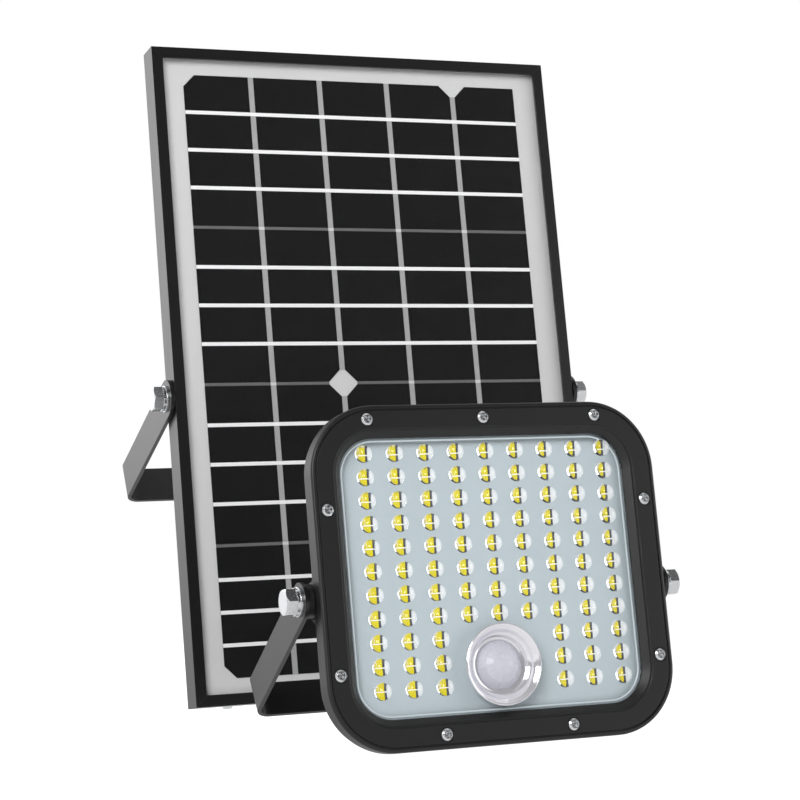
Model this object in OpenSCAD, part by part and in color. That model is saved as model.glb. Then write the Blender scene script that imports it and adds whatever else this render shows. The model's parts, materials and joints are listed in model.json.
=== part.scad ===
// Solar flood light: a framed solar panel and a flood lamp with a motion sensor.
// Each unit hangs by two shoulder bolts in its own U-shaped bracket.
// Row frame: X to the right, Y away from the front, Z up, millimetres.
// Origin: centre hole of the panel bracket's crossbar, on the face that meets the wall.
// Each unit also has a local frame: x right, y into the unit, z up, before it leans back.

/* [Arrangement] */
// How far both units lean back from upright, degrees
lean = 12.5; // [0:0.5:25]
// Place of the lamp's pivot to the right of the panel's pivot
lamp_right = -12; // [-60:1:60]
// Place of the lamp's pivot in front of the panel's pivot
lamp_forward = 169.6; // [168:0.1:300]
// Place of the lamp's pivot below the panel's pivot
lamp_down = 88.3; // [0:0.1:200]

/* [Panel frame] */
// Width of the panel over its frame
panel_w = 235; // [200:1:300]
// Height of the panel over its frame
panel_h = 356; // [300:1:430]
// Depth of the frame
frame_d = 15; // [14:0.5:18]
// Wall of the frame rails
frame_wall = 1.5; // [1.2:0.1:2]
// Width of the lip that holds the glass
lip_w = 6; // [5:0.5:9]
// Thickness of the front lip
lip_t = 1.2; // [1:0.1:1.5]
// Width of the rear flange
flange_w = 12; // [9:0.5:16]
// Thickness of the rear flange and of the ledge behind the laminate
flange_t = 1.1; // [1:0.1:1.5]
// Gap at each mitred corner, measured along the rail
mitre_gap = 0.1; // [0.05:0.05:0.3]
// Length of each leg of a corner key
key_len = 26; // [18:1:40]
// Thickness of a corner key
key_t = 3; // [2:0.5:4]

/* [Laminate] */
// Thickness of the front glass
glass_t = 2; // [1.8:0.1:3]
// Thickness of the clear encapsulant behind the glass
encapsulant_t = 0.3; // [0.2:0.1:0.5]
// Thickness of the tinned ribbons
ribbon_t = 0.2; // [0.1:0.05:0.3]
// Width of the tinned ribbons
ribbon_w = 2; // [1:0.1:3]
// Thickness of the silicon cells
cell_t = 0.3; // [0.2:0.05:0.4]
// Thickness of the white backsheet
backsheet_t = 0.3; // [0.2:0.1:0.8]
// Thickness of the soft seal around the laminate's edge
seal_t = 0.2; // [0.1:0.1:0.4]
// Number of cells across
cell_cols = 5; // [3:1:8]
// Number of rows of cells
cell_rows = 4; // [2:1:6]
// Gap between neighbouring columns of cells
cell_gap_x = 3.2; // [1:0.1:5]
// Gap between neighbouring rows of cells
cell_gap_z = 1.7; // [0.5:0.1:4]
// White border from the frame's side to the cells
cell_margin_x = 17.9; // [10:0.1:30]
// White border from the frame's end to the cells
cell_margin_z = 14; // [10:0.5:30]
// How much the last row of cells is trimmed
last_row_cut = 16; // [0:1:25]
// Cut-off at a wafer's corner
wafer_corner = 6.5; // [2:0.5:10]
// Ribbons across each row of cells
ribbons_per_row = 3; // [2:1:5]

/* [Junction box] */
// Width of the junction box
jbox_w = 62; // [50:1:90]
// Height of the junction box
jbox_h = 48; // [40:1:60]
// Depth of the junction box behind the backsheet
jbox_d = 15; // [13:0.5:22]
// Wall of the junction box
jbox_wall = 2; // [1.5:0.1:3]
// Height of the junction box's centre above the panel's centre
jbox_z = 128; // [120:1:140]

/* [Brackets] */
// Thickness of the bracket steel
strap_t = 2; // [1.5:0.1:3]
// Width of the panel bracket's strap
panel_strap_w = 20; // [16:1:26]
// Panel bracket, from pivot to the crossbar's outer face
panel_arm_len = 101; // [90:1:130]
// Slope of the panel bracket's arms below level, degrees
panel_arm_slope = 31.5; // [20:0.5:50]
// Height of the panel's pivot above its centre, negative is below
panel_pivot_z = -14.5; // [-30:0.5:0]
// Depth of the panel's pivot behind the laminate's ledge
panel_pivot_in = 3.2; // [3.1:0.1:3.6]
// Width of the lamp bracket's strap
lamp_strap_w = 18; // [16:1:24]
// Lamp bracket, from pivot to the crossbar's outer face
lamp_arm_len = 91; // [86:1:110]
// Slope of the lamp bracket's arms below level, degrees
lamp_arm_slope = 39.5; // [25:0.5:50]
// Outer radius of the bends
bend_r = 8; // [5:0.5:12]
// Bore of the crossbar's centre hole
centre_bore_d = 8.5; // [6:0.1:10]
// Bore of the crossbar's two side holes
side_bore_d = 6.5; // [4:0.1:8]
// Distance of a side hole from the centre hole
side_bore_x = 40; // [25:1:60]

/* [Pivot bolts] */
// Size across the flats of the hexagon head
head_af = 12; // [10:0.5:14]
// Height of the head
head_h = 5.3; // [4:0.1:7]
// Diameter of the shoulder that the bracket turns on
shoulder_d = 8; // [6:0.5:9]
// Radial running clearance of the bracket on the shoulder
pivot_fit = 0.05; // [0.02:0.01:0.1]
// Side clearance on each face of a bracket arm
side_gap = 0.05; // [0.02:0.01:0.1]
// Diameter of the bolt's thread
thread_d = 5; // [4:0.5:5]
// Clearance of parts that only have to go together
slip_fit = 0.05; // [0.02:0.01:0.1]
// Thickness of the nylon friction washer
friction_t = 0.4; // [0.3:0.1:0.8]
// Thickness of the flat washer
flat_t = 1.2; // [1:0.1:1.6]
// Thickness of the spring washer
spring_t = 1.5; // [1:0.1:2]

/* [Lamp bezel] */
// Width of the lamp over its bezel
lamp_w = 180; // [170:1:220]
// Height of the lamp over its bezel
lamp_h = 162.4; // [150:0.1:190]
// Outer corner radius of the bezel
lamp_r = 33; // [28:0.5:38]
// How far the bezel stands in front of the clear cover
bezel_proud = 5.4; // [4.5:0.1:7]
// How far the bezel's side wall reaches behind the cover's front
bezel_back = 3.2; // [2.5:0.1:4]
// Thickness of the bezel's outer wall
bezel_wall = 2.4; // [2:0.1:3]
// Width of the bezel from its edge to the window
bezel_w = 15.4; // [14.5:0.1:18]
// Distance of the screws from the bezel's edge
screw_in = 6.8; // [6.2:0.1:7.2]
// Diameter of a bezel screw's head
screw_head_d = 5.8; // [5:0.1:6.4]
// Height of a bezel screw's head
screw_head_h = 1.9; // [1.5:0.1:2.4]
// Diameter of a bezel screw's shank
screw_d = 3; // [2.5:0.1:3.2]

/* [Lamp optics] */
// Spacing of the LEDs across
led_pitch_x = 15.75; // [13:0.05:17]
// Spacing of the LEDs up and down
led_pitch_z = 11.12; // [9.5:0.02:12]
// Columns of LEDs
led_cols = 9; // [5:2:9]
// Rows of LEDs
led_rows = 11; // [7:1:11]
// Rows at the bottom that leave room for the motion sensor
led_short_rows = 3; // [2:1:4]
// Columns left out of the short rows
led_gap_cols = 3; // [3:2:5]
// Height of the LED field's middle above the lamp's middle
led_mid_z = 3.1; // [0:0.1:4]
// How far the LED field's middle lies to the right of the lamp's middle
led_mid_x = 1.8; // [-3:0.1:2]
// Width of an LED package
led_w = 2.8; // [2.4:0.1:5.5]
// Height of an LED package
led_h = 3.5; // [2.8:0.1:6.5]
// White wall of an LED package around its phosphor
led_wall = 0.1; // [0.05:0.05:0.5]
// Thickness of an LED package with its phosphor
led_t = 0.9; // [0.6:0.1:1.2]
// Radius of each lens dome
dome_r = 4.2; // [3:0.1:4.6]
// Thickness of the clear cover
cover_t = 1.6; // [1.2:0.1:2]
// Space between the cover's front and the LED board
board_y = 2.9; // [2.6:0.1:3.2]
// Thickness of the LED board
board_t = 1.6; // [1:0.1:2]

/* [Motion sensor] */
// Height of the sensor's centre below the lamp's middle
sensor_down = 43.7; // [38:0.1:48]
// Diameter of the collar's rim
collar_d = 39; // [34:0.5:42]
// Diameter of the sensor's dome
sensor_dome_d = 23.3; // [20:0.1:25]
// Height of the sensor's dome
sensor_dome_h = 6.1; // [4:0.1:8]
// Shell of the sensor's dome
sensor_shell = 0.8; // [0.5:0.1:1.2]

/* [Lamp housing] */
// Height of the lamp's pivot above the lamp's middle, negative is below
lamp_pivot_z = -8.3; // [-20:0.1:0]
// Depth of the lamp's pivot behind the cover's front
lamp_pivot_y = 9.4; // [9:0.1:12]
// Depth of the housing behind the cover's front
housing_back = 34.5; // [33:0.5:44]
// Wall of the housing
housing_wall = 2.4; // [2:0.1:3]
// Height of the ribs on the back
rib_h = 2; // [1:0.1:4]
// Number of ribs on the back
rib_n = 9; // [5:1:13]
// Radius of the round pivot bosses
boss_r = 8; // [7:0.1:9]
// Length of the brass pivot inserts
insert_len = 10; // [8:0.5:12]

/* [Battery and electronics] */
// Number of round cells in the pack
battery_n = 3; // [1:1:3]
// Diameter of a battery cell
battery_d = 18.4; // [18:0.1:19]
// Length of a battery cell
battery_len = 65; // [60:0.5:70]
// Spacing of the battery cells
battery_pitch = 19.2; // [18.9:0.1:19.6]
// Travel of the switch button
button_travel = 1.5; // [1:0.1:2.5]

/* [Hidden] */
$fn = 64;
eps = 0.01;

// Colours
black_paint = [0.11, 0.11, 0.11];
black_plastic = [0.17, 0.17, 0.17];
zinc = [0.85, 0.86, 0.88];
clear_glass = [0.85, 0.9, 0.95, 0.25];
silicon = [0.1, 0.1, 0.11];
tin = [0.95, 0.95, 0.95];
white_sheet = [0.84, 0.84, 0.84];
grey_rubber = [0.3, 0.3, 0.31];
board_white = [0.7, 0.76, 0.79];
phosphor_yellow = [0.9, 0.83, 0.05];
milky = [0.9, 0.9, 0.92];
brass = [0.8, 0.66, 0.3];
board_green = [0.1, 0.35, 0.2];
cell_sleeve = [0.15, 0.35, 0.6];
nylon = [0.8, 0.8, 0.76];

// ---- Derived sizes: laminate, counted from the frame's front face ----
glass_y = lip_t + seal_t;
encapsulant_y = glass_y + glass_t;
ribbon_y = encapsulant_y + encapsulant_t;
cell_y = ribbon_y + ribbon_t;
backsheet_y = cell_y + cell_t;
laminate_back = backsheet_y + backsheet_t;
ledge_y = laminate_back + seal_t;
chamber_y = ledge_y + flange_t;
flange_y = frame_d - flange_t;
panel_pivot_y = chamber_y + panel_pivot_in;
laminate_w = panel_w - 2 * (frame_wall + seal_t);
laminate_h = panel_h - 2 * (frame_wall + seal_t);
cell_w = (panel_w - 2 * cell_margin_x - (cell_cols - 1) * cell_gap_x) / cell_cols;
cell_h = (panel_h - 2 * cell_margin_z - (cell_rows - 1) * cell_gap_z + last_row_cut) / cell_rows;
cells_top = panel_h / 2 - cell_margin_z;
cells_w = panel_w - 2 * cell_margin_x;

// ---- Derived sizes: brackets and bolts ----
panel_half_in = panel_w / 2 + friction_t + side_gap;
pivot_boss_x = lamp_w / 2 + 2.9;
lamp_half_in = pivot_boss_x + friction_t + side_gap;
arm_stack = friction_t + strap_t + 2 * side_gap;
shoulder_len = arm_stack + flat_t + spring_t;
thread_len = 8;
block_len = 24;
block_x = 11;
panel_pivot = [0, -panel_arm_len * cos(panel_arm_slope), panel_arm_len * sin(panel_arm_slope)];
lamp_pivot = panel_pivot + [lamp_right, -lamp_forward, -lamp_down];

// ---- Derived sizes: lamp ----
cover_in = bezel_w - 4.2;
led_top = board_y - led_t;
sensor_z = -sensor_down;
collar_tube_r = sensor_dome_d / 2 + 3.4;
boss_flat_y = bezel_back + 0.3;
hump_in = bezel_w - 3.2;
hump_back_x = 60;
hump_back_z = 50;
hump_back_r = 16;
inner_back = housing_back - housing_wall;
battery_y = inner_back - battery_d / 2 - 1.4;
battery_x = -14;
battery_top_z = 34;
control_x = 41;
control_z = 18;
control_y = inner_back - 6;
gland_y = 20;
gland_end_z = -64;
switch_x = 38;
switch_z = -26;
land_y = -bezel_proud + 0.2;
pocket_y = -2.8;

// ---- Frames of reference ----
module in_panel() {
    translate(panel_pivot)
        rotate([-lean, 0, 0])
            translate([0, -panel_pivot_y, -panel_pivot_z])
                children();
}

module in_lamp() {
    translate(lamp_pivot)
        rotate([-lean, 0, 0])
            translate([0, -lamp_pivot_y, -lamp_pivot_z])
                children();
}

// Extrudes a shape drawn in x and z from depth y0 to depth y1
module slab(y0, y1) {
    translate([0, y1, 0])
        rotate([90, 0, 0])
            linear_extrude(y1 - y0)
                children();
}

// A child drawn on the Z axis, turned to point along X: side 1 is right, -1 is left
module to_side(side) {
    rotate([0, side * 90, 0])
        children();
}

module both_sides() {
    for (side = [-1, 1])
        mirror([side < 0 ? 1 : 0, 0, 0])
            children();
}

// Reflects its children across x = 0 for sx = -1, and across z = 0 for sz = -1
module mirrored(sx, sz) {
    mirror([sx < 0 ? 1 : 0, 0, 0])
        mirror([0, 0, sz < 0 ? 1 : 0])
            children();
}

// ---- Flat outlines ----
module rounded_rect(w, h, r) {
    square([w - 2 * r, h], center = true);
    square([w, h - 2 * r], center = true);
    for (sx = [-1, 1], sz = [-1, 1])
        translate([sx * (w / 2 - r), sz * (h / 2 - r)])
            circle(r);
}

// The lamp's outline, moved in by a distance
module lamp_outline(inset) {
    rounded_rect(lamp_w - 2 * inset, lamp_h - 2 * inset, lamp_r - inset);
}

// Sweeps a profile of [inset, depth] points around the lamp's rounded outline
module lamp_ring(profile) {
    straight_x = lamp_w - 2 * lamp_r;
    straight_z = lamp_h - 2 * lamp_r;
    corner = [for (p = profile) [lamp_r - p[0], -p[1]]];
    for (turn = [0, 180])
        rotate([0, turn, 0])
            translate([-straight_x / 2, 0, lamp_h / 2])
                rotate([90, 0, 90])
                    linear_extrude(straight_x)
                        polygon([for (p = profile) [p[1], -p[0]]]);
    for (turn = [90, -90])
        rotate([0, turn, 0])
            translate([-straight_z / 2, 0, lamp_w / 2])
                rotate([90, 0, 90])
                    linear_extrude(straight_z)
                        polygon([for (p = profile) [p[1], -p[0]]]);
    for (k = [0:3])
        translate([
            (k == 0 || k == 3 ? 1 : -1) * straight_x / 2,
            0,
            (k < 2 ? 1 : -1) * straight_z / 2
        ])
            rotate([90, 0, 0])
                rotate([0, 0, 90 * k])
                    rotate_extrude(angle = 90)
                        polygon(corner);
}

// ---- Fasteners, drawn from the bearing face up the Z axis ----
module ring(r_out, r_in, h) {
    difference() {
        cylinder(r = r_out, h = h);
        translate([0, 0, -1])
            cylinder(r = r_in, h = h + 2);
    }
}

// Shoulder bolt: z = 0 is the face its shoulder bears on, the thread points down
module pivot_bolt() {
    head_r = head_af / 2 / cos(30);
    translate([0, 0, shoulder_len])
        intersection() {
            rotate([0, 0, 30])
                cylinder(r = head_r, h = head_h, $fn = 6);
            union() {
                cylinder(r = head_r + 1, h = head_h - 1);
                translate([0, 0, head_h - 1])
                    cylinder(r1 = head_r + 0.3, r2 = head_r - 1.2, h = 1);
            }
        }
    cylinder(d = shoulder_d, h = shoulder_len);
    translate([0, 0, -thread_len])
        cylinder(d = thread_d, h = thread_len + eps);
}

module split_washer() {
    difference() {
        ring(shoulder_d / 2 + 2.6, shoulder_d / 2 + slip_fit, spring_t);
        translate([shoulder_d / 2 - 1, -0.6, -1])
            cube([6, 1.2, spring_t + 2]);
    }
}

// The stack on one bolt: offsets from the bearing face
friction_at = 0;
flat_at = arm_stack;
spring_at = arm_stack + flat_t;

module at_panel_pivots() {
    in_panel()
        both_sides()
            translate([panel_w / 2, panel_pivot_y, panel_pivot_z])
                rotate([0, 90, 0])
                    children();
}

module at_lamp_pivots() {
    in_lamp()
        both_sides()
            translate([pivot_boss_x, lamp_pivot_y, lamp_pivot_z])
                rotate([0, 90, 0])
                    children();
}

// ---- Bracket: pivot axis on X through the origin, arms along +Y ----
module u_outline(half_out, reach, r, back) {
    translate([-half_out, -back])
        square([2 * half_out, back + reach - r]);
    translate([-half_out + r, -back])
        square([2 * (half_out - r), back + reach]);
    for (side = [-1, 1])
        translate([side * (half_out - r), reach - r])
            circle(r);
}

module u_bracket(half_in, reach, strap) {
    half_out = half_in + strap_t;
    difference() {
        intersection() {
            translate([0, 0, -strap / 2])
                linear_extrude(strap)
                    difference() {
                        u_outline(half_out, reach, bend_r, strap);
                        u_outline(half_in, reach - strap_t, bend_r - strap_t, strap + 1);
                    }
            union() {
                rotate([0, 90, 0])
                    cylinder(d = strap, h = 2 * half_out + 2, center = true);
                translate([-half_out - 1, 0, -strap / 2])
                    cube([2 * half_out + 2, reach + 1, strap]);
            }
        }
        rotate([0, 90, 0])
            cylinder(r = shoulder_d / 2 + pivot_fit, h = 2 * half_out + 4, center = true);
        translate([0, reach + 1, 0])
            rotate([90, 0, 0])
                cylinder(d = centre_bore_d, h = strap_t + 2);
        for (side = [-1, 1])
            translate([side * side_bore_x, reach + 1, 0])
                rotate([90, 0, 0])
                    cylinder(d = side_bore_d, h = strap_t + 2);
    }
}

// ======================= Panel unit =======================

// One rail along z, its outer face at x = 0 and its inside towards +x
module rail(length) {
    translate([0, 0, -length / 2])
        linear_extrude(length)
            polygon([
                [0, 0], [lip_w, 0], [lip_w, lip_t], [frame_wall, lip_t],
                [frame_wall, ledge_y], [lip_w, ledge_y], [lip_w, chamber_y],
                [frame_wall, chamber_y], [frame_wall, flange_y], [flange_w, flange_y],
                [flange_w, frame_d], [0, frame_d]
            ]);
}

// Keeps what lies within the mitre of a rail of this length
module mitred(length) {
    reach = flange_w + 1;
    half = length / 2 - mitre_gap / 2;
    intersection() {
        children();
        slab(-1, frame_d + 1)
            polygon([[0, -half], [reach, -half + reach], [reach, half - reach], [0, half]]);
    }
}

// Bores that the pivot threads pass through
module pivot_hole(r, depth) {
    translate([-1, panel_pivot_y, panel_pivot_z])
        rotate([0, 90, 0])
            cylinder(r = r, h = depth + 1);
}

module panel_side_rails() {
    color(black_paint)
        in_panel()
            both_sides()
                translate([panel_w / 2, 0, 0])
                    mirror([1, 0, 0])
                        difference() {
                            mitred(panel_h)
                                rail(panel_h);
                            pivot_hole(thread_d / 2 + 0.2, frame_wall + 1);
                        }
}

corner_screw_x = panel_w / 2 - frame_wall - key_len * 0.7;

module panel_end_rails() {
    color(black_paint)
        in_panel()
            for (turn = [-90, 90])
                difference() {
                    rotate([0, turn, 0])
                        translate([-panel_h / 2, 0, 0])
                            mitred(panel_w)
                                rail(panel_w);
                    for (side = [-1, 1])
                        translate([side * corner_screw_x, panel_pivot_y, 0])
                            cylinder(r = 1.75, h = panel_h + 2, center = true);
                }
}

// An L in the rails' rear chamber at each corner
module corner_key() {
    gap = slip_fit;
    y0 = chamber_y + gap;
    y1 = flange_y - gap;
    x0 = panel_w / 2 - frame_wall - gap;
    z0 = panel_h / 2 - frame_wall - gap;
    difference() {
        slab(y0, y1)
            polygon([
                [x0, z0], [x0 - key_len, z0], [x0 - key_len, z0 - key_t],
                [x0 - key_t, z0 - key_t], [x0 - key_t, z0 - key_len], [x0, z0 - key_len]
            ]);
        translate([corner_screw_x, panel_pivot_y, z0 - key_t - 1])
            cylinder(r = 1.25 + slip_fit, h = key_t + 2);
    }
}

module frame_corner_keys() {
    color(zinc)
        in_panel()
            for (sx = [-1, 1], sz = [-1, 1])
                mirrored(sx, sz)
                    corner_key();
}

module frame_corner_screws() {
    color(zinc)
        in_panel()
            for (sx = [-1, 1], sz = [-1, 1])
                mirrored(sx, sz)
                    translate([corner_screw_x, panel_pivot_y, panel_h / 2])
                        difference() {
                            union() {
                                cylinder(r1 = 2.8, r2 = 2.3, h = 1.4);
                                translate([0, 0, -frame_wall - key_t - 1.5])
                                    cylinder(r = 1.25, h = frame_wall + key_t + 1.5 + eps);
                            }
                            for (turn = [0, 90])
                                rotate([0, 0, turn])
                                    translate([-1.6, -0.35, 0.5])
                                        cube([3.2, 0.7, 2]);
                        }
}

module laminate_layer(y0, t) {
    in_panel()
        slab(y0, y0 + t)
            square([laminate_w, laminate_h], center = true);
}

module panel_glass() {
    color(clear_glass)
        laminate_layer(glass_y, glass_t);
}

module laminate_encapsulant() {
    color(clear_glass)
        laminate_layer(encapsulant_y, encapsulant_t);
}

module panel_backsheet() {
    color(white_sheet)
        laminate_layer(backsheet_y, backsheet_t);
}

function cell_x(col) = -cells_w / 2 + col * (cell_w + cell_gap_x);
function row_top(row) = cells_top - row * (cell_h + cell_gap_z);
function row_h(row) = row == cell_rows - 1 ? cell_h - last_row_cut : cell_h;

// Wafer corners that fall inside the array, as [column, row, left or right, top or bottom]
wafer_corners = [
    [0, 0, -1, 1], [3, 0, 1, 1], [4, 0, -1, 1], [0, 3, -1, -1],
    [1, 1, 1, -1], [2, 1, -1, -1], [1, 2, 1, 1], [2, 2, -1, 1]
];

module solar_cells() {
    color(silicon)
        in_panel()
            for (col = [0:cell_cols - 1], row = [0:cell_rows - 1])
                translate([cell_x(col) + cell_w / 2, 0, row_top(row) - row_h(row) / 2])
                    slab(cell_y, cell_y + cell_t)
                        difference() {
                            square([cell_w, row_h(row)], center = true);
                            for (c = wafer_corners)
                                if (c[0] == col && c[1] == row)
                                    translate([c[2] * cell_w / 2, c[3] * row_h(row) / 2])
                                        rotate(45)
                                            square(wafer_corner * sqrt(2), center = true);
                        }
}

module cell_ribbons() {
    color(tin)
        in_panel()
            for (row = [0:cell_rows - 1], k = [1:ribbons_per_row])
                translate([0, 0, row_top(row) - row_h(row) * k / (ribbons_per_row + 1)])
                    slab(ribbon_y, ribbon_y + ribbon_t)
                        square([cells_w, ribbon_w], center = true);
}

module laminate_edge_seal() {
    color(grey_rubber)
        in_panel()
            difference() {
                slab(lip_t, ledge_y)
                    square([laminate_w + 2 * seal_t, laminate_h + 2 * seal_t], center = true);
                slab(glass_y, laminate_back)
                    square([laminate_w, laminate_h], center = true);
                slab(lip_t - 1, ledge_y + 1)
                    square([panel_w - 2 * lip_w + 0.6, panel_h - 2 * lip_w + 0.6], center = true);
            }
}

// ---- Junction box, bonded to the backsheet ----
jbox_y0 = laminate_back;
jbox_y1 = jbox_y0 + jbox_d;
jbox_r = 4;
lid_t = 2;
jbox_screw_x = jbox_w / 2 - 4.5;
jbox_screw_z = jbox_h / 2 - 4.5;
jgland_r = 5;

module at_jbox() {
    in_panel()
        translate([0, 0, jbox_z])
            children();
}

module jbox_corners() {
    for (sx = [-1, 1], sz = [-1, 1])
        translate([sx * jbox_screw_x, 0, sz * jbox_screw_z])
            children();
}

module junction_box() {
    color(black_plastic)
        at_jbox()
            difference() {
                union() {
                    difference() {
                        slab(jbox_y0, jbox_y1 - lid_t)
                            rounded_rect(jbox_w, jbox_h, jbox_r);
                        slab(jbox_y0 + jbox_wall, jbox_y1)
                            rounded_rect(jbox_w - 2 * jbox_wall, jbox_h - 2 * jbox_wall, jbox_r - 1);
                    }
                    jbox_corners()
                        slab(jbox_y0, jbox_y1 - lid_t)
                            circle(3.2);
                }
                jbox_corners()
                    slab(jbox_y0 + 3, jbox_y1)
                        circle(1.3);
                translate([0, (jbox_y0 + jbox_y1) / 2, -jbox_h / 2 - 1])
                    cylinder(r = jgland_r + slip_fit, h = jbox_wall + 3);
            }
}

module junction_lid_seal() {
    color(grey_rubber)
        at_jbox()
            slab(jbox_y1 - lid_t, jbox_y1 - lid_t + 0.6)
                difference() {
                    rounded_rect(jbox_w - 16, jbox_h - 4, jbox_r);
                    rounded_rect(jbox_w - 20, jbox_h - 8, jbox_r - 1);
                }
}

module junction_box_lid() {
    color(black_plastic)
        at_jbox()
            difference() {
                slab(jbox_y1 - lid_t + slip_fit, jbox_y1 + 0.8)
                    rounded_rect(jbox_w + 1, jbox_h + 1, jbox_r);
                slab(jbox_y1 - lid_t - 1, jbox_y1 - lid_t + 0.6)
                    difference() {
                        rounded_rect(jbox_w - 15.6, jbox_h - 3.6, jbox_r);
                        rounded_rect(jbox_w - 20.4, jbox_h - 8.4, jbox_r - 1);
                    }
                jbox_corners()
                    slab(jbox_y1 - lid_t - 1, jbox_y1 + 2)
                        circle(1.7);
                jbox_corners()
                    slab(jbox_y1 - 0.4, jbox_y1 + 2)
                        circle(3);
            }
}

module junction_lid_screws() {
    color(zinc)
        at_jbox()
            jbox_corners()
                union() {
                    slab(jbox_y1 - 9, jbox_y1 - 0.3)
                        circle(1.25);
                    slab(jbox_y1 - 0.4, jbox_y1 + 1.1)
                        difference() {
                            circle(2.7);
                            square([3.4, 0.7], center = true);
                        }
                }
}

module diode_board() {
    color(board_green)
        at_jbox()
            slab(jbox_y0 + jbox_wall, jbox_y0 + jbox_wall + 1.6)
                square([jbox_w - 20, jbox_h - 18], center = true);
}

module bypass_diodes() {
    color([0.2, 0.2, 0.2])
        at_jbox()
            for (k = [-1, 0, 1])
                translate([k * 12, 0, 0])
                    slab(jbox_y0 + jbox_wall + 1.6, jbox_y0 + jbox_wall + 5)
                        square([5.5, 10], center = true);
}

module jgland_part(z0, z1, r, sides) {
    translate([0, (jbox_y0 + jbox_y1) / 2, z0])
        cylinder(r = r, h = z1 - z0, $fn = sides);
}

jgland_top = -jbox_h / 2 + jbox_wall + 3;
jgland_low = -jbox_h / 2 - 9;

module junction_gland() {
    color(black_plastic)
        at_jbox()
            difference() {
                union() {
                    jgland_part(jgland_low, jgland_top, jgland_r, 64);
                    jgland_part(-jbox_h / 2 - 3, -jbox_h / 2, jgland_r + 1.3, 6);
                }
                jgland_part(jgland_low - 1, jgland_top + 1, 2.6, 64);
            }
}

module junction_gland_nut() {
    color(black_plastic)
        at_jbox()
            difference() {
                union() {
                    jgland_part(jgland_low - 2, -jbox_h / 2 - 3.3, jgland_r + 1.5, 6);
                    jgland_part(jgland_low - 4, jgland_low - 2 + eps, jgland_r - 0.4, 64);
                }
                jgland_part(jgland_low - 0.1, 0, jgland_r + slip_fit, 64);
                jgland_part(jgland_low - 5, 0, 2.6, 64);
            }
}

// ---- Panel pivot ----
module panel_pivot_blocks() {
    color(zinc)
        in_panel()
            both_sides()
                difference() {
                    translate([
                        panel_w / 2 - frame_wall - block_x, chamber_y + slip_fit,
                        panel_pivot_z - block_len / 2
                    ])
                        cube([block_x, flange_y - chamber_y - 2 * slip_fit, block_len]);
                    translate([panel_w / 2 + 1, panel_pivot_y, panel_pivot_z])
                        rotate([0, -90, 0])
                            cylinder(r = thread_d / 2 + slip_fit, h = block_x + frame_wall + 3);
                }
}

module panel_pivot_bolts() {
    color(zinc)
        at_panel_pivots()
            pivot_bolt();
}

module panel_spring_washers() {
    color(zinc)
        at_panel_pivots()
            translate([0, 0, spring_at])
                rotate([0, 0, 60])
                    split_washer();
}

module panel_flat_washers() {
    color(zinc)
        at_panel_pivots()
            translate([0, 0, flat_at])
                ring(shoulder_d / 2 + 3, shoulder_d / 2 + slip_fit, flat_t);
}

module panel_friction_washers() {
    color(nylon)
        at_panel_pivots()
            ring(shoulder_d / 2 + 2.4, shoulder_d / 2 + slip_fit, friction_t);
}

module panel_bracket() {
    color(black_paint)
        translate(panel_pivot)
            rotate([-panel_arm_slope, 0, 0])
                u_bracket(panel_half_in, panel_arm_len, panel_strap_w);
}

// ======================= Lamp unit =======================

screw_places = [
    [0, lamp_h / 2 - screw_in], [lamp_w / 2 - 30, lamp_h / 2 - screw_in],
    [-lamp_w / 2 + 30, lamp_h / 2 - screw_in],
    [lamp_w / 2 - screw_in, lamp_h / 2 - 49], [-lamp_w / 2 + screw_in, lamp_h / 2 - 49],
    [lamp_w / 2 - screw_in, -lamp_h / 2 + 37], [-lamp_w / 2 + screw_in, -lamp_h / 2 + 37],
    [lamp_w * 0.183, -lamp_h / 2 + screw_in], [-lamp_w * 0.183, -lamp_h / 2 + screw_in]
];

module at_screws() {
    for (p = screw_places)
        translate([p[0], 0, p[1]])
            children();
}

rim_r = 1.4;
groove_u = 1.9;
bezel_profile = concat(
    [[0, bezel_back]],
    [for (a = [0:15:90]) [rim_r - rim_r * cos(a), -bezel_proud + rim_r - rim_r * sin(a)]],
    [
        [groove_u, -bezel_proud], [groove_u, -bezel_proud + 0.9], [groove_u + 0.8, -bezel_proud + 0.9],
        [groove_u + 0.8, land_y], [bezel_w - 4.3, land_y], [bezel_w - 3.9, land_y + 0.6],
        [bezel_w - 3, land_y + 0.7], [bezel_w, -1.6], [bezel_w, -0.8],
        [bezel_w - 4.8, -0.8], [bezel_w - 4.8, pocket_y], [bezel_wall, pocket_y],
        [bezel_wall, bezel_back]
    ]
);

module lamp_bezel() {
    color(black_plastic)
        in_lamp()
            difference() {
                lamp_ring(bezel_profile);
                at_screws() {
                    slab(-bezel_proud - 1, 0)
                        circle(screw_d / 2 + 0.2);
                    slab(-bezel_proud - 1, land_y + 0.7)
                        circle(screw_head_d / 2 + 0.6);
                }
            }
}

// Pan head screw with a cross recess, its head's seat at depth y0
module pan_screw(y0) {
    shank_end = 4;
    difference() {
        union() {
            slab(y0 - screw_head_h * 0.55, y0)
                circle(screw_head_d / 2);
            translate([0, y0 - screw_head_h * 0.55, 0])
                rotate([90, 0, 0])
                    cylinder(
                        r1 = screw_head_d / 2, r2 = screw_head_d / 2 - 0.9,
                        h = screw_head_h * 0.45
                    );
            slab(y0 - eps, shank_end)
                circle(screw_d / 2);
        }
        for (turn = [45, 135])
            rotate([0, turn, 0])
                translate([-1.6, y0 - screw_head_h - 1, -0.38])
                    cube([3.2, 2.1, 0.76]);
    }
}

module bezel_screws() {
    color(zinc)
        in_lamp()
            at_screws()
                pan_screw(land_y + 0.7);
}

module cover_gasket() {
    color(grey_rubber)
        in_lamp()
            lamp_ring([
                [cover_in + 0.2, -0.8], [cover_in + 3.4, -0.8], [cover_in + 3.4, 0], [cover_in + 0.2, 0]
            ]);
}

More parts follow.
